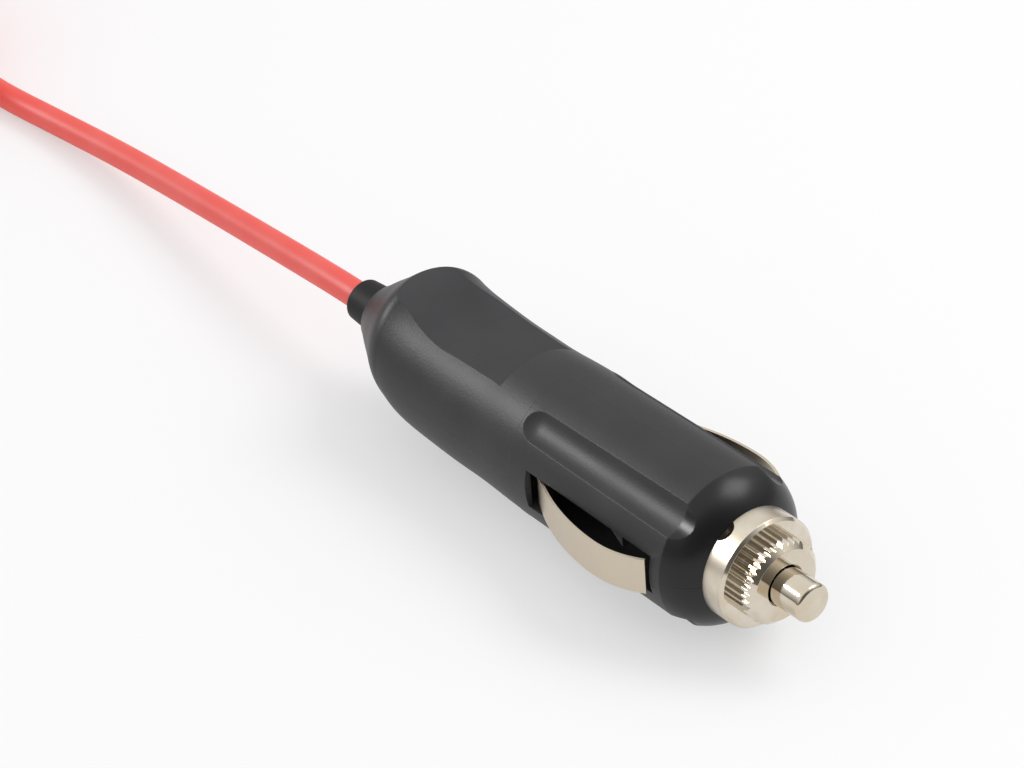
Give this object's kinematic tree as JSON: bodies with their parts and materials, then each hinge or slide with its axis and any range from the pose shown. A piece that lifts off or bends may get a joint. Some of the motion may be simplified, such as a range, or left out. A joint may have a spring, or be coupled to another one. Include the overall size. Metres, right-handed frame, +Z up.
{
  "type": "vehicle accessory extension lead",
  "caption": "Fused vehicle accessory plug with a sliding sprung tip, knurled nut and bowed side contacts, on a round cord wound into a tied hank that ends in an in-line socket.",
  "frame": {"origin": "floor point under the middle of the plug, cord and socket left out", "axes": "+X along the plug's axis towards its tip, +Z up from the floor, the cord and socket lie towards -X"},
  "size_m": [0.3205, 0.0392, 0.028],
  "materials": {
    "shell_plastic": "charcoal moulding with a fine matt grain",
    "nickel_plate": "warm polished nickel plate",
    "nickel_strip": "nickel plated spring strip",
    "zinc_steel": "bright zinc plated steel",
    "terminal_brass": "plain stamped brass",
    "fuse_glass": "clear glass tube",
    "cord_jacket": "soft matt red sheath",
    "relief_rubber": "charcoal soft moulding",
    "core_red": "red core insulation",
    "core_black": "black core insulation",
    "insulator_board": "brown pressed board",
    "tie_strap": "black woven strap"
  },
  "bodies": {
    "lead": {"plug_shell_upper": "shell_plastic", "plug_shell_lower": "shell_plastic", "shell_screw": "zinc_steel", "front_ring": "nickel_plate", "contact_spring": "zinc_steel", "positive_terminal": "terminal_brass", "ground_strap": "terminal_brass", "wire_positive": "core_red", "wire_negative": "core_black", "strain_relief": "relief_rubber", "cord_run": "cord_jacket", "cord_hank": "cord_jacket", "cord_tail": "cord_jacket", "cord_tie": "tie_strap", "socket_housing": "shell_plastic", "socket_sleeve": "nickel_strip", "socket_insulator": "insulator_board", "socket_stud": "terminal_brass", "socket_tag": "terminal_brass", "socket_wire_positive": "core_red", "socket_wire_negative": "core_black", "socket_grommet": "relief_rubber"},
    "tip": {"contact_pin": "nickel_plate", "fuse_tube": "fuse_glass", "fuse_cap_front": "nickel_plate", "fuse_cap_rear": "nickel_plate", "fuse_wire": "zinc_steel"},
    "nut": {"tip_nut": "nickel_plate"},
    "leaf_left": {"side_contact_left": "nickel_strip"},
    "leaf_right": {"side_contact_right": "nickel_strip"}
  },
  "joints": [
    {"name": "pin_slide", "type": "slide", "parent": "lead", "child": "tip", "axis": [-1, 0, 0], "range_m": [0, 0.004], "stiffness_N_per_m": 800, "deforming": ["contact_spring"]},
    {"name": "leaf_left_flex", "type": "hinge", "parent": "lead", "child": "leaf_left", "pos_m": [0.00367, -0.0083, 0.01], "axis": [0, 0, 1], "range_deg": [0, 8], "stiffness_Nm_per_rad": 0.3},
    {"name": "leaf_right_flex", "type": "hinge", "parent": "lead", "child": "leaf_right", "pos_m": [0.00367, 0.0083, 0.01], "axis": [0, 0, -1], "range_deg": [0, 8], "stiffness_Nm_per_rad": 0.3},
    {"name": "nut_turn", "type": "hinge", "parent": "lead", "child": "nut", "pos_m": [0.036, 0, 0.01], "axis": [1, 0, 0], "range_deg": [0, 360]}
  ]
}
